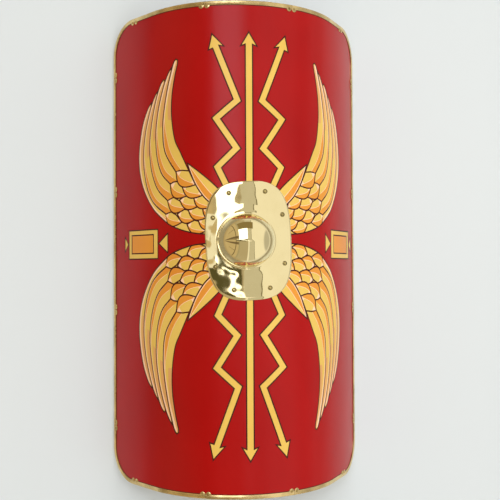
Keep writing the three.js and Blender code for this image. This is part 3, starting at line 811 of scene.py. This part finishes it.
def binding_mesh(line):
    """The folded strip along its line, with four lobes, one at each end in front and behind."""
    section = fold_section()
    size = len(section)
    verts, faces = [], []
    for s, y, a, b in line:
        verts += [bend(s + a * n, y + b * n, d) for n, d in section]
    (s, y, a, b), (next_s, next_y) = line[0], line[1][:2]
    turned = (next_s - s) * b - (next_y - y) * a > 0
    for k in range(len(line) - 1):
        for i in range(size):
            j = (i + 1) % size
            quad = (k * size + i, k * size + j, (k + 1) * size + j, (k + 1) * size + i)
            faces.append(quad if turned else quad[::-1])
    cap = tuple(range(size))
    far = tuple(i + (len(line) - 1) * size for i in range(size))
    faces += [cap[::-1], far] if turned else [cap, far[::-1]]
    spots = []
    for end, near in ((0, 1), (-1, -2)):
        s, y, a, b = line[end]
        along = np.array(line[near][:2]) - (s, y)
        along = along / np.linalg.norm(along)
        inset = lobe_offset - joint_gap / 2
        centre = np.array([s - a * binding_wide, y - b * binding_wide]) + along * inset
        spots.append(tuple(centre))
        turns = np.linspace(0, math.pi, 17)
        out = np.array((a, b))
        for top, low in ((binding_front, binding_front - binding_sheet),
                         (binding_back, binding_back + binding_sheet)):
            rim = [centre + out * lobe_lap - along * lobe_radius]
            rim += [centre - (along * math.cos(t) + out * math.sin(t)) * lobe_radius for t in turns]
            rim += [centre + out * lobe_lap + along * lobe_radius]
            soft = [centre + (p - centre) * lobe_top for p in rim]
            first = len(verts)
            count = len(rim)
            verts += [bend(*p, low) for p in rim]
            verts += [bend(*p, top + (low - top) * lobe_bevel) for p in rim]
            verts += [bend(*p, top) for p in soft]
            verts += [bend(*centre, top)]
            flip = turned == (top > low)
            for i in range(count - 1):
                for k in (0, 1):
                    quad = (first + k * count + i, first + k * count + i + 1,
                            first + (k + 1) * count + i + 1, first + (k + 1) * count + i)
                    faces.append(quad[::-1] if flip == (end == 0) else quad)
                tri = (first + 2 * count + i, first + 2 * count + i + 1, first + 3 * count)
                faces.append(tri[::-1] if flip == (end == 0) else tri)
    return verts, faces, spots


end_joint = 97 * mm
side_joint = 136 * mm
corner_across = 86 * mm
corner_down = 123 * mm
half_gap = joint_gap / 2
lengths = {}


def three_lengths(kind, way, names, out, joint):
    """The three lengths along one edge: two outer ones that end at a corner, and a middle one."""
    gap = math.copysign(half_gap, joint)
    inner, outer = joint + gap, out - gap
    ends = ((outer, inner), (joint - gap, gap - joint), (-inner, -outer))
    for name, (first, last) in zip(names, ends):
        lengths[name] = edge_line((kind, way), first, last)


for word, way in (("top", 1), ("bottom", -1)):
    names = [f"binding_{word}_{place}" for place in ("left", "middle", "right")]
    three_lengths("end", way, names, corner_across - edge_s, -end_joint)
for word, way in (("left", -1), ("right", 1)):
    names = [f"binding_{word}_{place}" for place in ("upper", "middle", "lower")]
    three_lengths("side", way, names, edge_y - corner_down, side_joint)
for high, up in (("top", 1), ("bottom", -1)):
    for hand, across in (("left", -1), ("right", 1)):
        corner = edge_line(("corner", across, up), corner_across - half_gap, corner_down - half_gap)
        lengths[f"binding_corner_{high}_{hand}"] = corner

binding_brass = polished_brass("binding_brass", srgb(236, 208, 150), srgb(150, 122, 66), 0.2, 0.0006, 0.75)
nail_spots = []
for name, line in lengths.items():
    verts, faces, spots = binding_mesh(line)
    strip = mesh_object(name.replace("binding", "strip"), verts, faces)
    strip.data.materials.append(binding_brass)
    strip.data.set_sharp_from_angle(angle=math.radians(40))
    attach(strip, "root")
    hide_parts(name)
    nail_spots += spots


# Binding nails: small brass nails with low round heads, one through each lobe, with their
# points clenched over behind.


def dome_profile(radius, high, seat):
    """The round top of a head, from its middle out to its edge."""
    turns = np.radians(np.linspace(4, 88, 7))
    return [(radius * math.sin(t), seat + high * math.cos(t)) for t in turns]


nail_head = 2.7 * mm
nail_shank = 1.1 * mm
# The nails' brass is darker and more clouded than the binding's.
nail_brass = polished_brass("nail_brass", srgb(196, 168, 108), srgb(120, 96, 52), 0.25, 0.0005, 0.9)
nail_seat = binding_front + 0.05 * mm
nail_tail = binding_back - 0.05 * mm
under_head = nail_seat - 0.1 * mm
nail_profile = dome_profile(nail_head, 1.5 * mm, nail_seat) + [(nail_head, under_head)]
nail_profile += [(nail_shank, under_head), (nail_shank, nail_tail), (2 * mm, nail_tail)]
nail_profile += [(1.8 * mm, nail_tail - 0.5 * mm), (0.4 * mm, nail_tail - 0.9 * mm)]
for i, spot in enumerate(nail_spots, 1):
    nail = turned_piece(f"nail_{i:02d}", nail_profile, spot, [nail_brass], [0] * len(nail_profile), 16)
    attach(nail, "root")
    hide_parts(f"binding_nail_{i:02d}")


# The grip: one hardwood bar across the hand hole, its front cut to the board's curve and its
# edges rounded for the hand. It is glued and held by a brass screw near each end.

grip_half = 102 * mm
grip_wide = 30 * mm
grip_deep = 28 * mm
grip_gap = 0.3 * mm                  # between the bar and the board, filled by the glue
grip_flat = crown_z - board_thick - grip_gap - grip_deep
grip_round = 6 * mm


def grip_mesh():
    """Sections along the bar: rounded behind, square where it meets the board."""
    verts, faces = [], []
    places = np.linspace(-grip_half, grip_half, 61)
    around = np.radians(np.linspace(0, 90, 7))
    for s in places:
        x, _, front = bend(s, 0, -board_thick - grip_gap)
        near_end = min(1, (grip_half - abs(s)) / (6 * mm))
        ease = 1 - math.sqrt(max(0, 1 - (1 - near_end) ** 2))
        back = grip_flat + ease * min(5 * mm, (front - grip_flat) * 0.6)
        r = min(grip_round, (front - back) * 0.45)
        half = grip_wide / 2 - 0.7 * mm * ease
        ring = [(half, front), (half, back + r)]
        ring += [(half - r + r * math.cos(t), back + r - r * math.sin(t)) for t in around[1:]]
        ring += [(-half + r - r * math.sin(t), back + r - r * math.cos(t)) for t in around]
        ring += [(-half, front)]
        verts += [(x, plate_rise + v, z) for v, z in ring]
    size = len(ring)
    for k in range(len(places) - 1):
        for i in range(size):
            j = (i + 1) % size
            faces.append((k * size + i, (k + 1) * size + i, (k + 1) * size + j, k * size + j))
    faces += [tuple(range(size)), tuple((len(places) - 1) * size + i for i in range(size))[::-1]]
    return verts, faces


def oiled_wood(name, light, dark):
    """Close-grained hardwood, grain along the bar, polished by handling."""
    material, nodes, links, shader = new_material(name)
    rings = noise(nodes, links, (5, 90, 90), 5, 0.6)
    pores = noise(nodes, links, (40, 900, 900), 3)
    stain = blend_colours(nodes, links, remap(nodes, links, rings, 0.35, 0.66, 0, 1), light, dark)
    fine = remap(nodes, links, pores, 0.5, 0.75, 0, 0.6)
    filled = blend_colours(nodes, links, fine, stain, tuple(v * 0.45 for v in dark))
    links.new(filled, shader.inputs["Base Color"])
    links.new(remap(nodes, links, rings, 0.3, 0.7, 0.38, 0.52), shader.inputs["Roughness"])
    raise_bumps(nodes, links, shader, [(pores, 0.4, 0.0002)])
    return material


verts, faces = grip_mesh()
grip = mesh_object("wooden_grip", verts, faces)
grip.data.materials.append(oiled_wood("grip_wood", srgb(166, 112, 66), srgb(116, 70, 38)))
grip.data.set_sharp_from_angle(angle=math.radians(40))
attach(grip, "root")
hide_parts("grip")

screw_s = 82 * mm
for i, s in enumerate((-screw_s, screw_s), 1):
    x = bend(s, 0, -board_thick)[0]
    verts, faces = [], []
    sides = 24
    levels = [(4.2 * mm, 0.4), (4.2 * mm, -0.2), (3.6 * mm, -0.8), (2.2 * mm, -1.25), (0.2 * mm, -1.4)]
    for r, h in levels:
        for k in range(sides):
            turn = 2 * math.pi * k / sides
            in_slot = abs(math.sin(turn)) * r < 0.5 * mm and r < 4 * mm
            z = grip_flat + h * mm + (0.9 * mm if in_slot else 0)
            verts.append((x + r * math.cos(turn), plate_rise + r * math.sin(turn), z))
    for k in range(len(levels) - 1):
        for j in range(sides):
            n = (j + 1) % sides
            faces.append((k * sides + n, k * sides + j, (k + 1) * sides + j, (k + 1) * sides + n)[::-1])
    faces.append(tuple((len(levels) - 1) * sides + k for k in range(sides))[::-1])
    screw = mesh_object(f"grip_screw_{i}", verts, faces)
    screw.data.materials.append(nail_brass)
    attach(screw, "root")


# The studio: a pale floor under the lying shield, painted darker farther out as shade, a plain room
# with one broad soft light overhead, and the camera above the shield.

floor_half = 6.0
floor = mesh_object("studio_floor", [(x, y, 0) for x, y in oblong(-floor_half, floor_half,
                                                                  -floor_half, floor_half)], [(0, 1, 2, 3)])
floor_paint, nodes, links, shader = new_material("floor_paint")
patches = noise(nodes, links, (0.7, 0.7, 0.7), 3)
near_colour = blend_colours(nodes, links, patches, srgb(222, 227, 229), srgb(216, 221, 224))
where = nodes.new("ShaderNodeTexCoord").outputs["Object"]
apart = vector_calc(nodes, links, "SUBTRACT", where, (0.065, -0.04, 0))
parts = nodes.new("ShaderNodeSeparateXYZ")
links.new(vector_calc(nodes, links, "ABSOLUTE", apart), parts.inputs["Vector"])
farther = calc(nodes, links, "MAXIMUM", parts.outputs["X"], parts.outputs["Y"])
# Painted shade: the floor turns darker grey from about 0.7 m out from the shield.
far_shade_share = remap(nodes, links, farther, 0.68, 1.3, 0, 1)
floor_colour = blend_colours(nodes, links, far_shade_share, near_colour, srgb(158, 154, 145))
links.new(floor_colour, shader.inputs["Base Color"])
shader.inputs["Roughness"].default_value = 0.8
floor.data.materials.append(floor_paint)

# The room that the brass reflects: bands of light and shade, placed by how far sideways and how
# many degrees up the room they lie, and one bright window.

world = bpy.data.worlds.new("studio")
bpy.context.scene.world = world
world.use_nodes = True
nodes, links = world.node_tree.nodes, world.node_tree.links
background = nodes["Background"]
where = nodes.new("ShaderNodeTexCoord")
split = nodes.new("ShaderNodeSeparateXYZ")
links.new(where.outputs["Generated"], split.inputs["Vector"])


def sums(kind, a, b):
    return calc(nodes, links, kind, a, b)


def band(value, low, high, soft):
    """One inside a range and nothing outside it, with soft ends."""
    ends = []
    for place, way in ((low, 1), (high, -1)):
        reach = (place - soft / 2, place + soft / 2)[::way]
        end = remap(nodes, links, value, *reach, 0, 1)
        end.node.interpolation_type = "SMOOTHSTEP"
        ends.append(end)
    return sums("MULTIPLY", *ends)


def patch(across, up):
    """One inside a range across the room and a range up it."""
    return sums("MULTIPLY", band(*across), band(*up))


sideways = split.outputs["X"]
height = sums("MAXIMUM", split.outputs["Z"], 0.02)
upward = sums("MULTIPLY", sums("ARCTAN2", split.outputs["Y"], height), 180 / math.pi)
lean = sums("MAXIMUM", sums("MINIMUM", upward, 6), -5)
slanted = sums("ADD", sideways, sums("MULTIPLY", lean, 0.016))
streak_way = sums("ADD", sideways, sums("MULTIPLY", upward, 0.15))
flare = sums("MULTIPLY", sums("MAXIMUM", sums("SUBTRACT", 6.5, upward), 0), 0.06)
window_end = band(sums("ADD", sideways, flare), -2, 0.01, 0.02)
window = sums("MULTIPLY", window_end, patch((sideways, -0.48, 2, 0.02), (upward, 2.4, 48, 2)))
dark_line = (0.16, 0.13, 0.07)
wall_shade = (0.2, 0.15, 0.09)
wall = blend_colours(nodes, links, band(upward, 8, 20, 4), (0.60, 0.49, 0.31), wall_shade)
wall = blend_colours(nodes, links, band(upward, -19, -8, 4), wall, wall_shade)
room_parts = [
    (band(sideways, -2, 0.86, 0.08), (0.97, 0.95, 0.88)),
    (band(sideways, -2, 0.04, 0.04), (0.50, 0.44, 0.32)),
    (band(slanted, 0.03, 0.31, 0.02), (0.62, 0.60, 0.52)),
    (band(slanted, 0.30, 0.32, 0.01), (0.2, 0.18, 0.1)),
    (patch((sideways, -0.66, 0.3, 0.02), (upward, 47, 78, 2)), (0.27, 0.21, 0.10)),
    (band(sideways, -0.66, -0.44, 0.04), (0.42, 0.38, 0.27)),
    (band(sideways, -2, -0.5, 0.06), wall),
    (patch((sideways, -2, -0.64, 0.01), (upward, 3.6, 5.6, 0.5)), dark_line),
    (patch((sideways, -0.9, -0.64, 0.01), (upward, -53, -51, 0.5)), dark_line),
    (patch((sideways, -0.9, -0.64, 0.01), (upward, 57, 59, 0.5)), dark_line),
    (band(sideways, -0.66, -0.63, 0.01), dark_line),
    (patch((sideways, -0.62, -0.02, 0.05), (upward, -3.6, 2.5, 1.5)), (0.10, 0.09, 0.04)),
    (patch((sideways, -0.62, -0.46, 0.04), (upward, 0.8, 3.2, 0.8)), (0.95, 0.94, 0.88)),
    (patch((streak_way, -0.36, -0.2, 0.04), (upward, -3.2, 0.4, 0.6)), (2.4, 2.4, 2.4)),
    (window, (2.5, 2.65, 2.9)),
]
room = (0.55, 0.54, 0.5)
for share, colour in room_parts:
    room = blend_colours(nodes, links, share, room, colour)
overhead = remap(nodes, links, split.outputs["Z"], 0, 0.12, 0, 1)
low_wall = band(sideways, -2, -0.1, 0.4)
horizon = blend_colours(nodes, links, low_wall, (0.80, 0.80, 0.78), (0.48, 0.39, 0.25))
links.new(blend_colours(nodes, links, overhead, horizon, room), background.inputs["Color"])
background.inputs["Strength"].default_value = 1.0

lamp_data = bpy.data.lights.new("soft_lamp", "AREA")
lamp_data.shape = "SQUARE"
lamp_data.size = 4
lamp_data.energy = 71
lamp_data.color = (0.97, 0.985, 1.0)
lamp = bpy.data.objects.new("soft_lamp", lamp_data)
bpy.context.scene.collection.objects.link(lamp)
lamp.location = (1.2, 0.6, 4)
lamp.rotation_euler = (Vector((0, 0, 0.1)) - lamp.location).to_track_quat("-Z", "Y").to_euler()
lamp.visible_glossy = False

# The camera, from a fit of the photograph's own view of the shield.

lens_px = 875.642
frame_px = 500
turn_x, turn_y, turn_z = -0.02223478, 0.14447649, 0.00442692
crown_from_camera = Vector((0.00093311, 0.00347726, -1.84292495))
world_to_camera = (Matrix.Rotation(turn_z, 3, "Z") @ Matrix.Rotation(turn_x, 3, "X")
                   @ Matrix.Rotation(turn_y, 3, "Y"))
camera_data = bpy.data.cameras.new("camera")
camera_data.sensor_width = 36
camera_data.lens = 36 * lens_px / frame_px
camera_data.clip_end = 50
camera = bpy.data.objects.new("camera", camera_data)
bpy.context.scene.collection.objects.link(camera)
camera_turn = world_to_camera.transposed()
camera_place = Vector((0, 0, crown_z)) - camera_turn @ crown_from_camera
camera.matrix_world = Matrix.Translation(camera_place) @ camera_turn.to_4x4()
bpy.context.scene.camera = camera
bpy.context.scene.view_settings.view_transform = "Standard"
